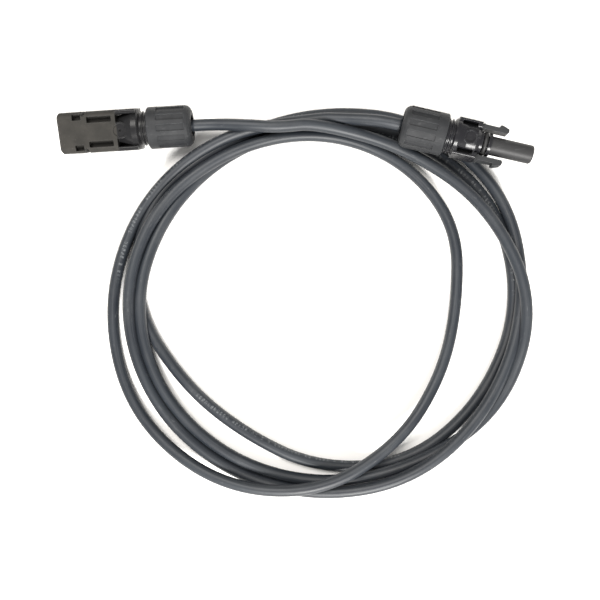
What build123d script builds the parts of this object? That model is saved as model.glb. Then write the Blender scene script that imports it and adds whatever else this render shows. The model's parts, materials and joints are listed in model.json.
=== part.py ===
from build123d import *

import os
from math import cos, radians, sin, tan

# Solar extension lead: a receptacle and a plug connector on a loosely coiled cable.
# Each connector is built along its own axis, +X from the rear of its gland nut to its mating end,
# and is then laid on the surface z = 0.  All sizes are in millimetres.

# ---- cable ---------------------------------------------------------------------------------
CABLE_D = 5.3
CABLE_R = CABLE_D / 2
CONDUCTOR_R = 1.25

# ---- gland, the same on both connectors ----------------------------------------------------
NUT_R = 9.2
NUT_L = 19.5
NUT_HOLE_R = 4.7
NUT_BORE_R = 7.7
NUT_WALL = 3.0
NUT_FLUTES = 12
SPIGOT_START = 9.5
SPIGOT_R = 7.5
THREAD_DEPTH = 0.7
THREAD_PITCH = 1.5
SPIGOT_BORE_R = 5.95
SPIGOT_BORE_END = 18.0
CAGE_R = 5.88
CAGE_BORE_R = 3.65
CAGE_START = 3.3
CAGE_L = 9.5
SEAL_R = 3.55
SEAL_SLEEVE_R = 3.3
CABLE_END_L = 20.0

# ---- contacts ------------------------------------------------------------------------------
CONTACT_BORE_R = 3.1
CRIMP_R = 2.55
CRIMP_START = 21.0
CRIMP_END = 30.0
COLLAR_R = 3.0
PIN_R = 2.0
PIN_ROOT_R = 2.6
PIN_ROOT_END = 38.6
PIN_END = 51.6
SOCKET_R = 2.68
SOCKET_BORE_R = 2.05
SOCKET_COLLAR_END = 38.1
SOCKET_END = 55.3
SPRING_START = 46.8
SPRING_END = 51.3

# ---- connector bodies ----------------------------------------------------------------------
RECEPTACLE_END = 58.4
PLUG_END = 58.3
RECEPTACLE_SHOULDER = 23.0
RECEPTACLE_BLOCK_START = 32.6
RECEPTACLE_HALF_W = 8.95
RECEPTACLE_HALF_H = 7.5
BARREL_BORE_R = 4.35
SEAL_SEAT_R = 5.35
SEAL_SEAT_START = 51.8
PLUG_SHOULDER = 22.7
PLUG_BODY_END = 34.3
PLUG_HALF_W = 8.2
PLUG_HALF_H = 7.3
BARREL_START = 39.7
NECK_R = 3.6
RIB_R = 5.15
RIB_STARTS = (34.3, 38.2)
SEAL_X = 36.9
SEAL_RING_R = 0.88
BARREL_R = 4.1

# ---- latch arms ----------------------------------------------------------------------------
LATCH_PIVOT_X = 34.9
LATCH_PIVOT_Y = 6.9
LATCH_ROOT_R = 1.3
LATCH_FIT = 0.07
LATCH_END = 46.1
LATCH_HALF_H = 2.8

# ---- where the connectors lie --------------------------------------------------------------
# Nut's front rim and the mouth's lower edge of the receptacle both touch the surface.
RECEPTACLE_PITCH = -0.46
RECEPTACLE_REAR = (-45.84, 5.54, 9.37)
RECEPTACLE_HEADING = 183.5
RECEPTACLE_ROLL = -15.0
# The plug lies on two strands of the coil, with its barrel raised a little.
PLUG_PITCH = 2.0
PLUG_REAR = (47.16, 4.24, 15.4)
PLUG_HEADING = -13.5

# ---- the coil ------------------------------------------------------------------------------
COIL_CENTRE = (10.56, -74.56)
STATIONS = 12
# Radius and height of the cable at each of the twelve compass stations, clockwise from the
# north one (+Y), turn after turn.
COIL_TURNS = [
    [(80.5, 12.5), (81.0, 8.0), (88.5, 10.0), (97.0, 13.0), (97.0, 4.5), (86.0, 7.0),
     (83.0, 4.0), (82.5, 2.7), (83.5, 4.5), (83.5, 8.0), (81.5, 5.5), (81.5, 2.7)],
    [(83.0, 2.7), (89.0, 2.7), (94.5, 2.7), (93.0, 2.7), (88.0, 2.7), (84.5, 2.7),
     (75.5, 2.7), (68.5, 2.7), (72.0, 2.7), (85.0, 2.7), (92.0, 2.7), (85.5, 5.0)],
    [(88.5, 4.0), (97.0, 2.7), (100.5, 3.5), (94.5, 7.5), (91.0, 9.0), (90.0, 11.5),
     (88.0, 6.5), (88.0, 3.0), (88.5, 5.5), (88.5, 9.5), (86.5, 8.5), (81.0, 8.0)],
    [(79.0, 6.0), (77.0, 3.5), (73.5, 2.7), (64.0, 2.7), (65.5, 3.5), (73.0, 8.0),
     (85.0, 12.0), (94.5, 8.0), (99.5, 2.7), (97.0, 2.7), (93.8, 3.5), (89.0, 7.0)],
]
LEAD_IN = [
    (-45.84, 5.54, 9.37), (-37.84, 6.03, 9.43), (-28.94, 5.44, 11.6), (-19.04, 4.54, 13.6), (-7.04, 3.74, 13.8),
]
LEAD_OUT = [
    (10.56, 8.94, 9.0), (20.96, 8.44, 9.9), (29.96, 7.54, 12.4), (38.96, 6.21, 15.1), (47.16, 4.24, 15.4),
]
COIL_GAP = 0.4
COIL_LOW_TOP = 5.6
COIL_EDGE = 2.2
# A smooth curve guided by the stations' points runs this far inside them.
CURVE_INSET = 3.0
# First and last station and top of each stretch where the turns cross over each other.
COIL_RIDGES = [(3.0, 6.6, 12.5), (8.6, 12.0, 11.8)]
WEDGE_R = 300.0
NUT_CLEARANCE = 0.6


def along_x(radius, start, end):
    """A rod on the X axis."""
    rod = Cylinder(radius, end - start, align=(Align.CENTER, Align.CENTER, Align.MIN))
    return Pos(start, 0, 0) * Rot(0, 90, 0) * rod


def pipe(outer, inner, start, end):
    """A plain sleeve on the X axis."""
    return along_x(outer, start, end) - along_x(inner, start - 1, end + 1)


def block(x0, x1, y0, y1, z0, z1):
    """A box between six planes."""
    box = Box(x1 - x0, y1 - y0, z1 - z0)
    return Pos((x0 + x1) / 2, (y0 + y1) / 2, (z0 + z1) / 2) * box


def turned(points):
    """A solid of revolution about X, from its half outline of (x, radius) points."""
    return revolve(make_face(Polyline(*points, close=True)), Axis.X)


def rounded_bar(x0, x1, half_w, half_h, corner):
    """A bar along X with rounded long edges."""
    section = Plane.YZ * RectangleRounded(2 * half_w, 2 * half_h, corner)
    return Pos(x0, 0, 0) * extrude(section, x1 - x0)


def gland_nut():
    """Fluted cap nut with a rounded rear rim and an internal cone."""
    outline = [
        (0, NUT_HOLE_R), (0, 6.8), (0.6, 8.0), (1.6, 8.8), (NUT_WALL, NUT_R),
        (NUT_L - 0.5, NUT_R), (NUT_L, NUT_R - 0.5), (NUT_L, NUT_BORE_R),
        (NUT_WALL + 1.6, NUT_BORE_R), (NUT_WALL, 6.2), (NUT_WALL, NUT_HOLE_R),
    ]
    nut = turned(outline)
    flute_depth = 0.55
    for index in range(NUT_FLUTES):
        flute = block(2.6, 15.0, -1.45, 1.45, NUT_R - flute_depth, NUT_R + 1)
        flute = fillet(flute.edges().filter_by(Axis.Z), 0.6)
        nut -= Rot(360 * index / NUT_FLUTES, 0, 0) * flute
    return nut


def clamp_cage():
    """Slotted sleeve whose fingers close on the seal."""
    cage = pipe(CAGE_R, CAGE_BORE_R, CAGE_START, CAGE_START + CAGE_L)
    slot_w = 0.9
    slot_end = CAGE_START + 6.5
    for angle in (0, 45, 90, 135):
        slot = block(CAGE_START - 1, slot_end, -slot_w / 2, slot_w / 2, -CAGE_R - 1, CAGE_R + 1)
        cage -= Rot(angle, 0, 0) * slot
    return cage


def cable_seal():
    """Rubber sleeve with three soft ribs, between the cable and the cage."""
    seal = pipe(SEAL_SLEEVE_R, CABLE_R, 4.2, 17.6)
    for start in (5.0, 9.0, 13.0):
        seal += pipe(SEAL_R, CABLE_R, start, start + 2.4)
    return seal


def conductor(end):
    """Bared copper strands that fill the crimp barrel."""
    return along_x(CONDUCTOR_R, CABLE_END_L, end)


def spigot(shoulder):
    """Threaded neck: ring ridges at the thread's pitch on a plain core."""
    core = along_x(SPIGOT_R - THREAD_DEPTH, SPIGOT_START, shoulder + 0.5)
    ridge_half = THREAD_PITCH / 2 - 0.12
    x = SPIGOT_START + THREAD_PITCH
    while x < shoulder - THREAD_PITCH / 2:
        ridge = [
            (x - ridge_half, SPIGOT_R - THREAD_DEPTH - 0.2), (x - 0.15, SPIGOT_R),
            (x + 0.15, SPIGOT_R), (x + ridge_half, SPIGOT_R - THREAD_DEPTH - 0.2),
        ]
        core += turned(ridge)
        x += THREAD_PITCH
    return core


def receptacle_housing():
    """Hollow body with a waist, two side rails, latch channels and windows."""
    neck = RECEPTACLE_SHOULDER
    block_start = RECEPTACLE_BLOCK_START
    body = spigot(neck)
    body += turned([
        (neck, 0), (neck, 8.1), (neck + 0.7, 8.8), (neck + 3.0, 8.8), (block_start + 0.5, 6.0),
        (block_start + 0.5, 0),
    ])
    main = rounded_bar(block_start, RECEPTACLE_END, RECEPTACLE_HALF_W, RECEPTACLE_HALF_H, 3.0)
    body += chamfer(main.faces().sort_by(Axis.X)[-1].edges(), 0.9)
    for side in (-1, 1):
        rail = block(neck + 1.0, block_start + 0.5, 6.9, RECEPTACLE_HALF_W, -6.9, 6.9)
        rail = fillet(rail.edges().filter_by(Axis.X), 0.9)
        body += rail if side > 0 else mirror(rail, Plane.XZ)
    boss_x = 31.2
    body += Pos(boss_x, 0, 6.2) * Cylinder(3.6, 2.2)
    body -= Pos(boss_x, 0, 7.3) * Cylinder(2.9, 0.8)
    body -= Pos(boss_x, 0, 6.9) * Cylinder(0.7, 1.6)
    for side in (-1, 1):
        for face in (-1, 1):
            window = block(34.4, 45.2, 4.0, 6.6, 4.6, RECEPTACLE_HALF_H + 1)
            far_window = block(47.6, 51.5, 5.3, 7.8, 4.6, RECEPTACLE_HALF_H + 1)
            pocket = fillet(window.edges().filter_by(Axis.Z), 0.4) + far_window
            body -= Location((0, 0, 0), (0 if face > 0 else 180, 0, 0)) * (
                pocket if side > 0 else mirror(pocket, Plane.XZ))
        channel = block(42.9, RECEPTACLE_END + 1, 6.0, 8.2, -3.1, 3.1)
        notch_face = make_face(Polyline(
            (45.4, RECEPTACLE_HALF_W + 0.5), (46.3, 6.9), (47.2, 6.9), (48.2, RECEPTACLE_HALF_W + 0.5),
            close=True))
        notch = Pos(0, 0, -RECEPTACLE_HALF_H - 1) * extrude(notch_face, 2 * RECEPTACLE_HALF_H + 2)
        cut = channel + notch
        body -= cut if side > 0 else mirror(cut, Plane.XZ)
    body -= along_x(SPIGOT_BORE_R, SPIGOT_START - 1, SPIGOT_BORE_END)
    body -= along_x(CONTACT_BORE_R, SPIGOT_BORE_END - 1, 35.0)
    body -= along_x(PIN_ROOT_R + 0.05, 34.0, 39.0)
    body -= along_x(BARREL_BORE_R, 38.0, RECEPTACLE_END + 1)
    body -= turned([
        (SEAL_SEAT_START, 0), (SEAL_SEAT_START, SEAL_SEAT_R), (RECEPTACLE_END - 0.6, SEAL_SEAT_R),
        (RECEPTACLE_END + 0.1, SEAL_SEAT_R + 0.55), (RECEPTACLE_END + 0.1, 0),
    ])
    return body


def pin_contact():
    """Turned pin with a collar, a crimp barrel and a rounded tip."""
    return turned([
        (CRIMP_START, CONDUCTOR_R), (CRIMP_START, CRIMP_R), (CRIMP_END, CRIMP_R),
        (CRIMP_END, COLLAR_R), (34.9, COLLAR_R), (34.9, PIN_ROOT_R),
        (PIN_ROOT_END, PIN_ROOT_R), (PIN_ROOT_END, PIN_R), (PIN_END - 2.0, PIN_R),
        (PIN_END - 0.7, 1.6), (PIN_END, 0.8), (PIN_END, 0), (CRIMP_END - 1.0, 0),
        (CRIMP_END - 1.0, CONDUCTOR_R),
    ])


def contact_clip():
    """Split spring ring behind the contact's collar."""
    ring = pipe(CONTACT_BORE_R - 0.03, CRIMP_R + 0.03, 26.0, 29.4)
    return ring - block(25.0, 30.0, -0.6, 0.6, 0, CONTACT_BORE_R + 1)


def plug_housing():
    """Body with side rails and pockets, ribbed collar and round barrel."""
    neck = PLUG_SHOULDER
    body = spigot(neck)
    body += turned([
        (neck, 0), (neck, 7.6), (neck + 0.6, PLUG_HALF_W), (neck + 2.0, PLUG_HALF_W),
        (neck + 6.0, PLUG_HALF_H - 0.2), (PLUG_BODY_END - 1.6, PLUG_HALF_H - 0.2),
        (PLUG_BODY_END, PLUG_HALF_H - 1.4), (PLUG_BODY_END, 0),
    ])
    for side in (-1, 1):
        rail = block(neck + 1.0, PLUG_BODY_END, 5.3, PLUG_HALF_W, -5.2, 5.2)
        rail = fillet(rail.edges().filter_by(Axis.X), 0.8)
        body += rail if side > 0 else mirror(rail, Plane.XZ)
    for side in (-1, 1):
        body -= Pos(LATCH_PIVOT_X, side * LATCH_PIVOT_Y, 0) * Cylinder(LATCH_ROOT_R + LATCH_FIT, 20)
        for face in (-1, 1):
            pocket = block(neck + 2.6, neck + 9.4, 4.9, 7.2, 1.0, 9.0)
            body -= Location((0, 0, 0), (0 if face > 0 else 180, 0, 0)) * (
                pocket if side > 0 else mirror(pocket, Plane.XZ))
    body += Pos(29.7, 0, 6.5) * Cylinder(3.1, 1.6)
    body -= Pos(29.7, 0, 7.0) * Cylinder(2.5, 0.8)
    body += along_x(NECK_R, PLUG_BODY_END - 1, BARREL_START + 1)
    for start in RIB_STARTS:
        body += along_x(RIB_R, start, start + 1.3)
    body += turned([
        (BARREL_START, 0), (BARREL_START, BARREL_R), (PLUG_END - 0.6, BARREL_R),
        (PLUG_END, BARREL_R - 0.5), (PLUG_END, 0),
    ])
    body -= along_x(SPIGOT_BORE_R, SPIGOT_START - 1, SPIGOT_BORE_END)
    body -= along_x(CONTACT_BORE_R, SPIGOT_BORE_END - 1, 38.3)
    body -= along_x(SOCKET_R + 0.03, 37.3, PLUG_END + 1)
    return body


def latch_arm(side):
    """Arm with a rounded root and an outward hook; side is +1 or -1 across the plug."""
    inner = 5.9
    outer = 7.9
    outline = Polyline(
        (LATCH_PIVOT_X, inner), (LATCH_END - 0.6, inner), (LATCH_END, inner + 0.7),
        (LATCH_END - 0.3, outer + 0.1), (LATCH_END - 3.2, 9.0), (LATCH_END - 4.1, 9.0),
        (LATCH_END - 4.3, outer),
        (LATCH_PIVOT_X, outer), close=True)
    beam = Pos(0, 0, -LATCH_HALF_H) * extrude(make_face(outline), 2 * LATCH_HALF_H)
    root = Pos(LATCH_PIVOT_X, LATCH_PIVOT_Y, 0) * Cylinder(LATCH_ROOT_R, 2 * LATCH_HALF_H)
    arm = beam + root
    return arm if side > 0 else mirror(arm, Plane.XZ)


def face_seal():
    """O-ring in the groove between the collar's ribs."""
    return Pos(SEAL_X, 0, 0) * Rot(0, 90, 0) * Torus(NECK_R + SEAL_RING_R + 0.02, SEAL_RING_R)


def socket_contact():
    """Turned socket with a collar, a crimp barrel and a groove for its spring ring."""
    return turned([
        (CRIMP_START, CONDUCTOR_R), (CRIMP_START, CRIMP_R), (CRIMP_END, CRIMP_R),
        (CRIMP_END, COLLAR_R), (SOCKET_COLLAR_END, COLLAR_R), (SOCKET_COLLAR_END, SOCKET_R),
        (SOCKET_END, SOCKET_R),
        (SOCKET_END, SOCKET_BORE_R + 0.3), (SOCKET_END - 0.4, SOCKET_BORE_R),
        (SPRING_END, SOCKET_BORE_R), (SPRING_END, 2.35), (SPRING_START, 2.35),
        (SPRING_START, SOCKET_BORE_R),
        (40.3, SOCKET_BORE_R), (40.3, 0), (CRIMP_END - 1.0, 0), (CRIMP_END - 1.0, CONDUCTOR_R),
    ])


def socket_spring():
    """Slotted spring ring in the socket's groove."""
    ring = pipe(2.33, 2.1, SPRING_START + 0.1, SPRING_END - 0.1)
    for angle in range(0, 180, 30):
        ring -= Rot(angle, 0, 0) * block(SPRING_START + 0.9, SPRING_END - 0.9, -0.2, 0.2, -3, 3)
    return ring


def aimed(origin, heading, pitch):
    """Where a connector lies: its rear point, its heading and its nose-up pitch."""
    h = radians(heading)
    p = radians(pitch)
    nose = (cos(h) * cos(p), sin(h) * cos(p), sin(p))
    top = (-cos(h) * sin(p), -sin(h) * sin(p), cos(p))
    return Plane(origin=origin, x_dir=nose, z_dir=top).location


def around(radius, station):
    """A point at a radius from the coil's centre, in the direction of a station."""
    angle = radians(90 - 360 * station / STATIONS)
    return (COIL_CENTRE[0] + radius * cos(angle), COIL_CENTRE[1] + radius * sin(angle))


def cord_tube(points):
    """Cable along a route: straight runs joined by arcs as large as the runs allow."""
    route = [Vector(*p) for p in points]
    radii = []
    for before, at, after in zip(route, route[1:], route[2:]):
        turn = (at - before).get_angle(after - at)
        shorter = min((at - before).length, (after - at).length)
        radii.append(0.45 * shorter / tan(radians(turn) / 2))
    print("cord radii", [round(r, 1) for r in radii])
    line = FilletPolyline(*route, radius=radii)
    section = Plane(origin=line @ 0, z_dir=line % 0) * Circle(CABLE_R)
    tube = sweep(section, path=line)
    print("tube volume over section times length", tube.volume / (section.area * line.length))
    return tube


def ring_edge(radii):
    """A closed smooth outline round the coil's centre."""
    points = [around(radius, station) for station, radius in enumerate(radii)]
    return Spline(*points, periodic=True)


def coil_solid(receptacle):
    """Outer shape of the coil: a ring as wide as its turns spread, at two levels, clear of the nut."""
    stations = range(STATIONS)
    margin = CABLE_R + COIL_GAP
    outer = [max(t[s][0] for t in COIL_TURNS) + margin - CURVE_INSET for s in stations]
    inner = [min(t[s][0] for t in COIL_TURNS) - margin for s in stations]
    ring = make_face(ring_edge(outer)) - make_face(ring_edge(inner))
    coil = extrude(ring, COIL_LOW_TOP)
    coil = fillet(coil.faces().sort_by(Axis.Z)[-1].edges(), COIL_EDGE)
    for first, last, top in COIL_RIDGES:
        corners = [around(WEDGE_R, station) for station in (first, (first + last) / 2, last)]
        wedge = make_face(Polyline(COIL_CENTRE, *corners, close=True))
        coil += extrude(ring & wedge, top)
    return coil - receptacle * along_x(NUT_R + NUT_CLEARANCE, -4.0, NUT_L)


def write(node, solid, place=None):
    """One node, one STEP file."""
    if place is not None:
        solid = place * solid
    solid.label = node
    export_step(solid, f"parts/{node}.step")
    return solid.bounding_box()


def main():
    os.makedirs("parts", exist_ok=True)
    receptacle = aimed(RECEPTACLE_REAR, RECEPTACLE_HEADING, RECEPTACLE_PITCH) * Rot(RECEPTACLE_ROLL, 0, 0)
    plug = aimed(PLUG_REAR, PLUG_HEADING, PLUG_PITCH)
    boxes = []
    for name, place in (("receptacle", receptacle), ("plug", plug)):
        boxes.append(write(f"{name}_nut", gland_nut(), place))
        boxes.append(write(f"{name}_clamp_cage", clamp_cage(), place))
        boxes.append(write(f"{name}_cable_seal", cable_seal(), place))
        boxes.append(write(f"{name}_conductor", conductor(CRIMP_END - 1.0), place))
        boxes.append(write(f"{name}_cable_end", along_x(CABLE_R, 0, CABLE_END_L), place))
    boxes.append(write("receptacle_housing", receptacle_housing(), receptacle))
    boxes.append(write("pin_contact", pin_contact(), receptacle))
    boxes.append(write("pin_contact_clip", contact_clip(), receptacle))
    boxes.append(write("plug_housing", plug_housing(), plug))
    boxes.append(write("left_latch_arm", latch_arm(1), plug))
    boxes.append(write("right_latch_arm", latch_arm(-1), plug))
    boxes.append(write("plug_face_seal", face_seal(), plug))
    boxes.append(write("socket_contact", socket_contact(), plug))
    boxes.append(write("socket_contact_spring", socket_spring(), plug))
    boxes.append(write("socket_contact_clip", contact_clip(), plug))
    low = [min(b.min.X for b in boxes), min(b.min.Y for b in boxes), min(b.min.Z for b in boxes)]
    high = [max(b.max.X for b in boxes), max(b.max.Y for b in boxes), max(b.max.Z for b in boxes)]
    print("connectors' box", [round(v, 3) for v in low], [round(v, 3) for v in high])
    print("its middle", [round((a + b) / 2, 3) for a, b in zip(low, high)])
    write("cord_coil", coil_solid(receptacle))
    write("cord_lead_in", cord_tube(LEAD_IN))
    write("cord_lead_out", cord_tube(LEAD_OUT))


main()
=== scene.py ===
"""Looks of a solar extension lead: two latching connectors on one loosely coiled cable."""
import json
import math

import bpy
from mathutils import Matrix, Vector


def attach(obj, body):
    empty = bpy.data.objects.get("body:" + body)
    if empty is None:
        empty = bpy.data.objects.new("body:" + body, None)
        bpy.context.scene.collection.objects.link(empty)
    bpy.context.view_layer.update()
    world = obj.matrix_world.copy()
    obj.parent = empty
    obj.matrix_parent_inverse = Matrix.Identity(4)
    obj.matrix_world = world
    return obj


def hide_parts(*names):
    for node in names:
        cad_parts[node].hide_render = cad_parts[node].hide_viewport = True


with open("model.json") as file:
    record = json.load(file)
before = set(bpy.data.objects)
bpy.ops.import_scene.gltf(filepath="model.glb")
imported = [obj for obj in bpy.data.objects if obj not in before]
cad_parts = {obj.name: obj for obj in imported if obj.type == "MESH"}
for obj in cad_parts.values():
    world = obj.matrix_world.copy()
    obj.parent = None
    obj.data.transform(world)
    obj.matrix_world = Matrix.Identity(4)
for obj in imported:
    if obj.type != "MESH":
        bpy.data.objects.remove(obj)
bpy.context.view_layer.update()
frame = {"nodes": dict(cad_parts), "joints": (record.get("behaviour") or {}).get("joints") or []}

MM = 0.001

# ---- the cable, in millimetres ---------------------------------------------------------------
CABLE_D = 5.3
CABLE_SIDES = 28
STEPS_PER_SPAN = 14
COIL_CENTRE = (10.56, -74.56)
STATIONS = 12
# Radius and height of the cable at each of the twelve compass stations, clockwise from the
# north one (+Y), turn after turn.
COIL_TURNS = [
    [(80.5, 12.5), (81.0, 8.0), (88.5, 10.0), (97.0, 13.0), (97.0, 4.5), (86.0, 7.0),
     (83.0, 4.0), (82.5, 2.7), (83.5, 4.5), (83.5, 8.0), (81.5, 5.5), (81.5, 2.7)],
    [(83.0, 2.7), (89.0, 2.7), (94.5, 2.7), (93.0, 2.7), (88.0, 2.7), (84.5, 2.7),
     (75.5, 2.7), (68.5, 2.7), (72.0, 2.7), (85.0, 2.7), (92.0, 2.7), (85.5, 5.0)],
    [(88.5, 4.0), (97.0, 2.7), (100.5, 3.5), (94.5, 7.5), (91.0, 9.0), (90.0, 11.5),
     (88.0, 6.5), (88.0, 3.0), (88.5, 5.5), (88.5, 9.5), (86.5, 8.5), (81.0, 8.0)],
    [(79.0, 6.0), (77.0, 3.5), (73.5, 2.7), (64.0, 2.7), (65.5, 3.5), (73.0, 8.0),
     (85.0, 12.0), (94.5, 8.0), (99.5, 2.7), (97.0, 2.7), (93.8, 3.5), (89.0, 7.0)],
]
LEAD_IN = [
    (-45.84, 5.54, 9.37), (-37.84, 6.03, 9.43), (-28.94, 5.44, 11.6),
    (-19.04, 4.54, 13.6), (-7.04, 3.74, 13.8),
]
LEAD_OUT = [
    (10.56, 8.94, 9.0), (20.96, 8.44, 9.9), (29.96, 7.54, 12.4), (38.96, 6.21, 15.1), (47.16, 4.24, 15.4),
]

# ---- connectors, along their own axis from the rear of the nut, in millimetres ----------------
NUT_MIDDLE = 9.75
# How far along the waist ends and the grained block starts, and the collar ends and the barrel starts.
BLOCK_EDGE = (32.1, 33.0)
BARREL_EDGE = (39.5, 39.9)
SOFT_EDGE = 0.00025
NUT_SOFT_EDGE = 0.0003

# ---- camera and light, in metres --------------------------------------------------------------
FLOOR_HALF = 1.5
LIT_MIDDLE = (0.0, -0.07, 0.0)
ROOM_STRENGTH = 0.55
CAMERA_AT = (0.0024, -0.0728, 0.330)
FIELD_AT_FLOOR = 0.2773


# ================================================================================================
# Shader helpers
# ================================================================================================
class Wire:
    """A node's output, on which Python's operators add Math nodes."""

    def __init__(self, paint, socket):
        self.paint = paint
        self.socket = socket

    def maths(self, operation, *others):
        values = dict(enumerate((self, *others)))
        return self.paint.add("ShaderNodeMath", {"operation": operation}, values)

    def __add__(self, other):
        return self.maths("ADD", other)

    __radd__ = __add__

    def __mul__(self, other):
        return self.maths("MULTIPLY", other)

    __rmul__ = __mul__

    def __sub__(self, other):
        return self.maths("SUBTRACT", other)

    def __rsub__(self, other):
        return self.paint.number(other).maths("SUBTRACT", self)

    def __truediv__(self, other):
        return self.maths("DIVIDE", other)

    def __gt__(self, other):
        return self.maths("GREATER_THAN", other)

    def between(self, low, high):
        """0 below low, 1 above high, and a smooth step between them."""
        return self.paint.add(
            "ShaderNodeMapRange", {"interpolation_type": "SMOOTHSTEP"},
            {"Value": self, "From Min": low, "From Max": high})

    def sine(self):
        return self.maths("SINE")

    def fraction(self):
        return self.maths("FRACT")

    def size(self):
        return self.maths("ABSOLUTE")


class Paint:
    """One material and short ways to add nodes to it."""

    def __init__(self, name, **constants):
        self.material = bpy.data.materials.new(name)
        self.material.use_nodes = True
        self.tree = self.material.node_tree
        self.shader = self.tree.nodes["Principled BSDF"]
        for socket, value in constants.items():
            self.shader.inputs[socket.replace("_", " ")].default_value = value

    def add(self, kind, settings=None, values=None, output=0):
        """A node: its settings first, then the values or links of its sockets; gives one output."""
        node = self.tree.nodes.new(kind)
        for name, setting in (settings or {}).items():
            setattr(node, name, setting)
        for socket, value in (values or {}).items():
            self.feed(node.inputs[socket], value)
        return Wire(self, node.outputs[output])

    def feed(self, socket, value):
        if isinstance(value, Wire):
            self.tree.links.new(value.socket, socket)
        else:
            socket.default_value = value

    def number(self, value):
        return self.add("ShaderNodeMath", {"operation": "ADD"}, {0: value, 1: 0.0})

    def vector(self, operation, *values, output=0):
        return self.add("ShaderNodeVectorMath", {"operation": operation}, dict(enumerate(values)), output)

    def mix(self, factor, first, second):
        """A colour between two colours."""
        return self.add("ShaderNodeMix", {"data_type": "RGBA"}, {0: factor, 6: first, 7: second}, 2)

    def noise(self, place, scale, detail=3.0, roughness=0.5):
        return self.add("ShaderNodeTexNoise", None,
                        {"Vector": place, "Scale": scale, "Detail": detail, "Roughness": roughness})

    def place(self):
        """A point's own place on its piece, in metres."""
        return self.add("ShaderNodeTexCoord", None, None, "Object")

    def bumps(self, *heights, soft_edge=0.0):
        """Surface relief from (height in metres, wire) pairs, over edges rounded by soft_edge."""
        normal = None
        if soft_edge:
            normal = self.add("ShaderNodeBevel", {"samples": 4}, {"Radius": soft_edge})
        for depth, wire in heights:
            values = {"Height": wire, "Distance": depth, "Strength": 1.0}
            if normal is not None:
                values["Normal"] = normal
            normal = self.add("ShaderNodeBump", None, values)
        self.feed(self.shader.inputs["Normal"], normal)

    def worn_edge(self, radius):
        """1 along sharp edges, 0 on flat faces."""
        rounded = self.add("ShaderNodeBevel", {"samples": 4}, {"Radius": radius})
        true = self.add("ShaderNodeNewGeometry", None, None, "True Normal")
        return 1.0 - self.vector("DOT_PRODUCT", rounded, true, output="Value").between(0.75, 0.995)

    def colour(self, wire):
        self.feed(self.shader.inputs["Base Color"], wire)

    def roughness(self, wire):
        self.feed(self.shader.inputs["Roughness"], wire)


def rgb(red, green, blue):
    return (red, green, blue, 1.0)


# ================================================================================================
# Where things are
# ================================================================================================
class Connector:
    """A connector's nose direction, with a level one and an upward one square to it, from its nut's rear."""

    def __init__(self, nut_joint):
        joint = next(j for j in frame["joints"] if j["name"] == nut_joint)
        self.nose = Vector(joint["axis"]).normalized()
        self.side = Vector((0, 0, 1)).cross(self.nose).normalized()
        self.top = self.nose.cross(self.side)
        self.rear = Vector(joint["pos_m"]) - self.nose * NUT_MIDDLE * MM

    def measure(self, paint):
        """Wires for how far along, across and up a point is, in millimetres."""
        offset = paint.vector("SUBTRACT", paint.place(), tuple(self.rear))
        axes = (self.nose, self.side, self.top)
        return [paint.vector("DOT_PRODUCT", offset, tuple(a / MM), output="Value") for a in axes]


# ================================================================================================
# Materials
# ================================================================================================
def sheath_paint(name, straight):
    """Cable sheath: matte dark blue-grey, with faint lines from extrusion, dust and rub marks.

    straight(paint) gives the place on the cable as if it were pulled straight along X.
    """
    paint = Paint(name, Specular_IOR_Level=0.36)
    at = straight(paint)
    stretched = paint.vector("MULTIPLY", at, (0.02, 1.0, 1.0))
    lines = paint.noise(stretched, 1900.0, 2.0)
    broad = paint.noise(paint.vector("MULTIPLY", at, (0.12, 1.0, 1.0)), 260.0, 3.0)
    patches = paint.noise(at, 38.0, 4.0, 0.6)
    grain = paint.noise(at, 5200.0, 2.0)
    scuffs = paint.noise(paint.vector("MULTIPLY", at, (0.35, 1.0, 1.0)), 620.0, 5.0, 0.7).between(0.60, 0.74)
    dust = patches.between(0.45, 0.75) * grain.between(0.40, 0.70)
    body = paint.mix(broad.between(0.3, 0.7), rgb(0.012, 0.015, 0.020), rgb(0.020, 0.024, 0.030))
    lined = paint.mix(lines.between(0.52, 0.75) * 0.35, body, rgb(0.060, 0.065, 0.070))
    dusty = paint.mix(dust * 0.22, lined, rgb(0.17, 0.17, 0.165))
    scuffed = paint.mix(scuffs * 0.30, dusty, rgb(0.14, 0.145, 0.15))
    paint.colour(scuffed)
    paint.roughness(0.40 + 0.12 * broad + 0.10 * scuffs)
    paint.bumps((0.00006, lines), (0.00002, grain))
    return paint


def cable_marks(paint, at, colour):
    """Worn pale ink on the cable: short plain bars in a row that wanders round the sheath."""
    along = paint.add("ShaderNodeSeparateXYZ", None, {0: at}, "X")
    across = Wire(paint, along.socket.node.outputs["Y"])
    up = Wire(paint, along.socket.node.outputs["Z"])
    turned = (along * 17.0).sine() * 1.1 + (along * 5.0).sine() * 1.6
    angle = up.maths("ARCTAN2", across) - turned
    height = (angle / (2 * math.pi) + 0.5).fraction() - 0.5
    in_row = 1.0 - height.size().between(0.045, 0.055)
    cell = along / 0.0017
    bar = 1.0 - ((cell.fraction() - 0.5).size()).between(0.26, 0.32)
    cell_number = cell.maths("FLOOR")
    present = paint.add("ShaderNodeTexWhiteNoise", {"noise_dimensions": "1D"}, {"W": cell_number}, "Value")
    gaps = (along * 31.0).sine().between(-0.2, 0.1)
    worn = paint.noise(at, 1500.0, 3.0, 0.7).between(0.42, 0.62)
    ink = in_row * bar * (present > 0.25) * gaps * worn
    return paint.mix(ink * 0.22, colour, rgb(0.42, 0.44, 0.45))


def straightened(paint):
    """A point's place on the cable as if it were pulled straight along X."""
    return paint.add("ShaderNodeAttribute", {"attribute_name": "straight"}, None, "Vector")


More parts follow.
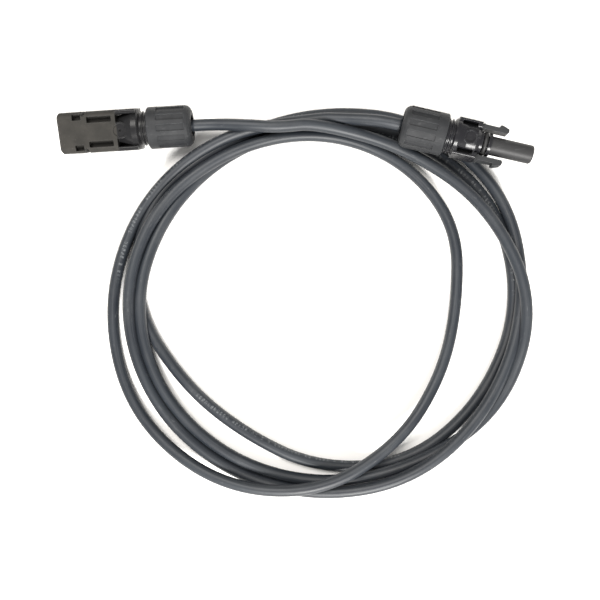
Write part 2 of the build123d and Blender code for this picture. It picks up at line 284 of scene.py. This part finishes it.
def cable_paint():
    """Sheath of the long cable, with its row of faint marks."""
    paint = sheath_paint("cable_sheath", straightened)
    at = straightened(paint)
    base = paint.shader.inputs["Base Color"]
    plain = Wire(paint, base.links[0].from_socket)
    paint.colour(cable_marks(paint, at, plain))
    return paint.material


def cable_end_paint(name, connector):
    """Sheath of the cable's end inside a gland, measured along the connector."""
    def straight(paint):
        along, across, up = connector.measure(paint)
        joined = paint.add("ShaderNodeCombineXYZ", None, {"X": along, "Y": across, "Z": up})
        return paint.vector("MULTIPLY", joined, (MM, MM, MM))
    return sheath_paint(name, straight).material


def nut_paint():
    """Gland nut: dark grey matte moulding, with a fine eroded grain and paler worn edges."""
    paint = Paint("nut_plastic", Specular_IOR_Level=0.16)
    at = paint.place()
    grain = paint.noise(at, 4200.0, 3.0, 0.6)
    cloud = paint.noise(at, 160.0, 4.0, 0.6)
    rubs = paint.noise(paint.vector("MULTIPLY", at, (0.3, 1.0, 1.0)), 900.0, 5.0, 0.7).between(0.58, 0.72)
    edge = paint.worn_edge(NUT_SOFT_EDGE)
    body = paint.mix(cloud.between(0.3, 0.7), rgb(0.019, 0.020, 0.022), rgb(0.027, 0.028, 0.030))
    rubbed = paint.mix(rubs * 0.22, body, rgb(0.12, 0.12, 0.125))
    paint.colour(paint.mix(edge * 0.45, rubbed, rgb(0.13, 0.135, 0.14)))
    paint.roughness(0.46 + 0.16 * grain)
    paint.bumps((0.00004, cloud), (0.00003, grain), soft_edge=NUT_SOFT_EDGE)
    return paint.material


def receptacle_paint(connector):
    """Receptacle body: warm dark grey grained block, and a glossy black waist with its thread."""
    paint = Paint("receptacle_plastic", Specular_IOR_Level=0.16)
    at = paint.place()
    along = connector.measure(paint)[0]
    block = along.between(*BLOCK_EDGE)
    grain = paint.noise(at, 3600.0, 4.0, 0.65)
    cloud = paint.noise(at, 140.0, 4.0, 0.6)
    specks = paint.noise(at, 2100.0, 2.0).between(0.66, 0.76)
    edge = paint.worn_edge(SOFT_EDGE)
    warm = paint.mix(cloud.between(0.3, 0.7), rgb(0.020, 0.019, 0.017), rgb(0.030, 0.028, 0.025))
    black = rgb(0.012, 0.012, 0.013)
    body = paint.mix(block, black, warm)
    dusty = paint.mix(specks * 0.25, body, rgb(0.13, 0.125, 0.12))
    paint.colour(paint.mix(edge * 0.40, dusty, rgb(0.13, 0.13, 0.13)))
    paint.roughness(0.24 + 0.08 * cloud + block * (0.22 + 0.16 * grain))
    paint.bumps((0.00005, cloud), (0.00004, grain * (0.25 + 0.75 * block)), soft_edge=SOFT_EDGE)
    return paint.material


def plug_paint(connector):
    """Plug body: glossy black moulding with a satin barrel."""
    paint = Paint("plug_plastic", Specular_IOR_Level=0.28)
    at = paint.place()
    along = connector.measure(paint)[0]
    barrel = along.between(*BARREL_EDGE)
    streaks = paint.noise(paint.vector("MULTIPLY", at, (0.25, 1.0, 1.0)), 1100.0, 4.0, 0.6)
    grain = paint.noise(at, 4000.0, 3.0, 0.6)
    cloud = paint.noise(at, 150.0, 4.0, 0.6)
    edge = paint.worn_edge(SOFT_EDGE)
    body = paint.mix(barrel, rgb(0.010, 0.010, 0.012), rgb(0.022, 0.022, 0.023))
    rubbed = paint.mix(streaks.between(0.58, 0.74) * 0.20, body, rgb(0.11, 0.11, 0.115))
    paint.colour(paint.mix(edge * 0.40, rubbed, rgb(0.13, 0.135, 0.145)))
    paint.roughness(0.20 + 0.10 * cloud + barrel * (0.18 + 0.12 * grain))
    paint.bumps((0.00004, cloud), (0.000015, grain), soft_edge=SOFT_EDGE)
    return paint.material


def latch_paint():
    """Latch arms: satin dark grey moulding, rubbed along the edges that slide."""
    paint = Paint("latch_plastic", Specular_IOR_Level=0.18)
    at = paint.place()
    grain = paint.noise(at, 3800.0, 3.0, 0.6)
    cloud = paint.noise(at, 220.0, 3.0, 0.6)
    edge = paint.worn_edge(SOFT_EDGE)
    body = paint.mix(cloud, rgb(0.020, 0.021, 0.022), rgb(0.030, 0.031, 0.033))
    paint.colour(paint.mix(edge * 0.45, body, rgb(0.15, 0.155, 0.16)))
    paint.roughness(0.38 + 0.16 * grain)
    paint.bumps((0.00003, grain), soft_edge=SOFT_EDGE)
    return paint.material


def cage_paint():
    """Clamping cage inside the nut: lighter nylon with a waxy surface."""
    paint = Paint("cage_plastic", Specular_IOR_Level=0.45)
    at = paint.place()
    cloud = paint.noise(at, 300.0, 4.0, 0.6)
    grain = paint.noise(at, 5000.0, 2.0)
    paint.colour(paint.mix(cloud, rgb(0.050, 0.052, 0.055), rgb(0.085, 0.087, 0.090)))
    paint.roughness(0.40 + 0.15 * grain)
    paint.bumps((0.00002, grain))
    return paint.material


def seal_paint():
    """Seals and O-ring: soft black rubber with a faint bloom."""
    paint = Paint("seal_rubber", Specular_IOR_Level=0.4)
    at = paint.place()
    bloom = paint.noise(at, 420.0, 5.0, 0.65).between(0.45, 0.75)
    grain = paint.noise(at, 6000.0, 2.0)
    paint.colour(paint.mix(bloom * 0.5, rgb(0.012, 0.012, 0.012), rgb(0.040, 0.040, 0.041)))
    paint.roughness(0.48 + 0.20 * bloom)
    paint.bumps((0.00002, grain))
    return paint.material


def tin_paint():
    """Contacts: tin plate with fine turning lines."""
    paint = Paint("tin_plate", Specular_IOR_Level=0.5, Metallic=1.0)
    at = paint.place()
    lines = paint.noise(paint.vector("MULTIPLY", at, (12.0, 1.0, 1.0)), 900.0, 2.0)
    tarnish = paint.noise(at, 500.0, 4.0, 0.6).between(0.40, 0.75)
    paint.colour(paint.mix(tarnish, rgb(0.70, 0.69, 0.66), rgb(0.50, 0.48, 0.44)))
    paint.roughness(0.20 + 0.14 * lines + 0.12 * tarnish)
    paint.bumps((0.00001, lines))
    return paint.material


def steel_paint():
    """Spring rings: bright steel strip."""
    paint = Paint("spring_steel", Specular_IOR_Level=0.5, Metallic=1.0)
    at = paint.place()
    rolled = paint.noise(paint.vector("MULTIPLY", at, (1.0, 8.0, 8.0)), 700.0, 3.0)
    paint.colour(paint.mix(rolled, rgb(0.48, 0.48, 0.47), rgb(0.62, 0.61, 0.59)))
    paint.roughness(0.22 + 0.16 * rolled)
    paint.bumps((0.00001, rolled))
    return paint.material


def copper_paint():
    """Bared conductor: copper strands laid in a shallow helix."""
    paint = Paint("copper_strands", Specular_IOR_Level=0.5, Metallic=1.0)
    at = paint.place()
    strands = paint.add("ShaderNodeTexWave", {"bands_direction": "DIAGONAL"},
                        {"Vector": at, "Scale": 900.0, "Distortion": 0.6})
    oxide = paint.noise(at, 700.0, 4.0, 0.6)
    paint.colour(paint.mix(oxide, rgb(0.72, 0.34, 0.19), rgb(0.50, 0.22, 0.12)))
    paint.roughness(0.26 + 0.20 * oxide)
    paint.bumps((0.0001, strands))
    return paint.material


def floor_paint():
    """Plain white tabletop."""
    paint = Paint("tabletop", Roughness=0.6, Specular_IOR_Level=0.2)
    soft = paint.noise(paint.place(), 9.0, 3.0)
    paint.colour(paint.mix(soft, rgb(0.93, 0.925, 0.91), rgb(0.96, 0.955, 0.945)))
    return paint.material


# ================================================================================================
# The cable
# ================================================================================================
def coil_point(turn, station):
    """Where a control point of the coil stands, in millimetres."""
    radius, height = COIL_TURNS[turn][station]
    angle = math.radians(90 - 360 * station / STATIONS)
    return (COIL_CENTRE[0] + radius * math.cos(angle), COIL_CENTRE[1] + radius * math.sin(angle), height)


def cable_route():
    """The cable's control points, from the receptacle through the coil to the plug, in metres."""
    coil = [coil_point(turn, station) for turn in range(len(COIL_TURNS)) for station in range(STATIONS)]
    return [Vector(p) * MM for p in LEAD_IN + coil + LEAD_OUT]


def smooth_line(points, steps):
    """The line of an open NURBS spline that these points control."""
    curve = bpy.data.curves.new("cable_line", "CURVE")
    curve.dimensions = "3D"
    curve.resolution_u = steps
    spline = curve.splines.new("NURBS")
    spline.points.add(len(points) - 1)
    for control, point in zip(spline.points, points):
        control.co = (*point, 1.0)
    spline.order_u = 3
    spline.use_endpoint_u = True
    holder = bpy.data.objects.new("cable_line", curve)
    bpy.context.scene.collection.objects.link(holder)
    bpy.context.view_layer.update()
    mesh = bpy.data.meshes.new_from_object(holder.evaluated_get(bpy.context.evaluated_depsgraph_get()))
    line = [v.co.copy() for v in mesh.vertices]
    bpy.data.objects.remove(holder)
    bpy.data.curves.remove(curve)
    bpy.data.meshes.remove(mesh)
    return line


def line_length(line):
    """Length along a line of points."""
    return sum((b - a).length for a, b in zip(line, line[1:]))


def tube(name, line, radius, sides):
    """A round tube with flat ends along a line; each point keeps its place on the straightened tube."""
    vertices = []
    straight = []
    faces = []
    across = (line[1] - line[0]).cross(Vector((0, 0, 1))).normalized()
    travelled = 0.0
    for index, centre in enumerate(line):
        before = line[max(index - 1, 0)]
        after = line[min(index + 1, len(line) - 1)]
        heading = (after - before).normalized()
        across = (across - heading * across.dot(heading)).normalized()
        other = heading.cross(across)
        if index:
            travelled += (centre - line[index - 1]).length
        for side in range(sides):
            angle = 2 * math.pi * side / sides
            c = math.cos(angle) * radius
            s = math.sin(angle) * radius
            vertices.append(centre + across * c + other * s)
            straight.extend((travelled, c, s))
    for ring in range(len(line) - 1):
        for side in range(sides):
            following = (side + 1) % sides
            a = ring * sides + side
            b = ring * sides + following
            faces.append((a, b, b + sides, a + sides))
    faces.append(tuple(reversed(range(sides))))
    faces.append(tuple(range(len(vertices) - sides, len(vertices))))
    mesh = bpy.data.meshes.new(name)
    mesh.from_pydata(vertices, [], faces)
    mesh.update()
    mesh.flip_normals()
    mesh.shade_smooth()
    mesh.attributes.new("straight", "FLOAT_VECTOR", "POINT").data.foreach_set("vector", straight)
    piece = bpy.data.objects.new(name, mesh)
    bpy.context.scene.collection.objects.link(piece)
    return piece


def make_cable():
    """The whole cable between the two glands, as one piece."""
    line = smooth_line(cable_route(), STEPS_PER_SPAN)
    piece = tube("extension_cable", line, CABLE_D / 2 * MM, CABLE_SIDES)
    piece.data.materials.append(cable_paint())
    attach(piece, "cable_assembly")
    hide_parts("cord_coil", "cord_lead_in", "cord_lead_out")
    print("cable length", round(line_length(line), 4))



# ================================================================================================
# Finishes of the connectors' own parts
# ================================================================================================
def dress(material, *nodes):
    """Gives these CAD nodes a material."""
    for name in nodes:
        mesh = frame["nodes"][name].data
        mesh.materials.clear()
        mesh.materials.append(material)


def dress_connectors():
    receptacle = Connector("receptacle_nut_turn")
    plug = Connector("plug_nut_turn")
    dress(nut_paint(), "receptacle_nut", "plug_nut")
    dress(receptacle_paint(receptacle), "receptacle_housing")
    dress(plug_paint(plug), "plug_housing")
    dress(latch_paint(), "left_latch_arm", "right_latch_arm")
    dress(cage_paint(), "receptacle_clamp_cage", "plug_clamp_cage")
    dress(seal_paint(), "receptacle_cable_seal", "plug_cable_seal", "plug_face_seal")
    dress(tin_paint(), "pin_contact", "socket_contact")
    dress(steel_paint(), "pin_contact_clip", "socket_contact_clip", "socket_contact_spring")
    dress(copper_paint(), "receptacle_conductor", "plug_conductor")
    dress(cable_end_paint("receptacle_cable_sheath", receptacle), "receptacle_cable_end")
    dress(cable_end_paint("plug_cable_sheath", plug), "plug_cable_end")


# ================================================================================================
# Floor, light and camera
# ================================================================================================
def make_floor():
    """White tabletop under the lead."""
    mesh = bpy.data.meshes.new("tabletop")
    half = FLOOR_HALF
    corners = [(-half, -half, 0), (half, -half, 0), (half, half, 0), (-half, half, 0)]
    mesh.from_pydata(corners, [], [(0, 1, 2, 3)])
    mesh.materials.append(floor_paint())
    floor = bpy.data.objects.new("tabletop", mesh)
    bpy.context.scene.collection.objects.link(floor)


def softbox(name, place, target, width, power, colour):
    """A square lamp turned towards a point."""
    data = bpy.data.lights.new(name, "AREA")
    data.shape = "SQUARE"
    data.size = width
    data.energy = power
    data.color = colour
    lamp = bpy.data.objects.new(name, data)
    lamp.location = place
    lamp.rotation_euler = (Vector(target) - Vector(place)).to_track_quat("-Z", "Y").to_euler()
    bpy.context.scene.collection.objects.link(lamp)


def make_light():
    """A bright warm room, a strong lamp low on the -Y side and a softer one overhead."""
    world = bpy.data.worlds.new("room")
    world.use_nodes = True
    sky = world.node_tree.nodes["Background"]
    sky.inputs["Color"].default_value = rgb(1.0, 0.985, 0.96)
    sky.inputs["Strength"].default_value = ROOM_STRENGTH
    bpy.context.scene.world = world
    softbox("window", (0.10, -0.82, 0.66), LIT_MIDDLE, 0.30, 22.0, (1.0, 0.985, 0.96))
    softbox("ceiling", (-0.30, 0.35, 1.0), LIT_MIDDLE, 0.5, 12.0, (1.0, 0.97, 0.93))


def make_camera():
    """A camera that looks straight down."""
    data = bpy.data.cameras.new("camera")
    data.sensor_fit = "HORIZONTAL"
    data.angle = 2 * math.atan(FIELD_AT_FLOOR / 2 / CAMERA_AT[2])
    data.clip_start = 0.01
    camera = bpy.data.objects.new("camera", data)
    camera.location = CAMERA_AT
    bpy.context.scene.collection.objects.link(camera)
    bpy.context.scene.camera = camera


make_camera()
make_cable()
dress_connectors()
make_floor()
make_light()
bpy.context.scene.view_settings.view_transform = "Standard"
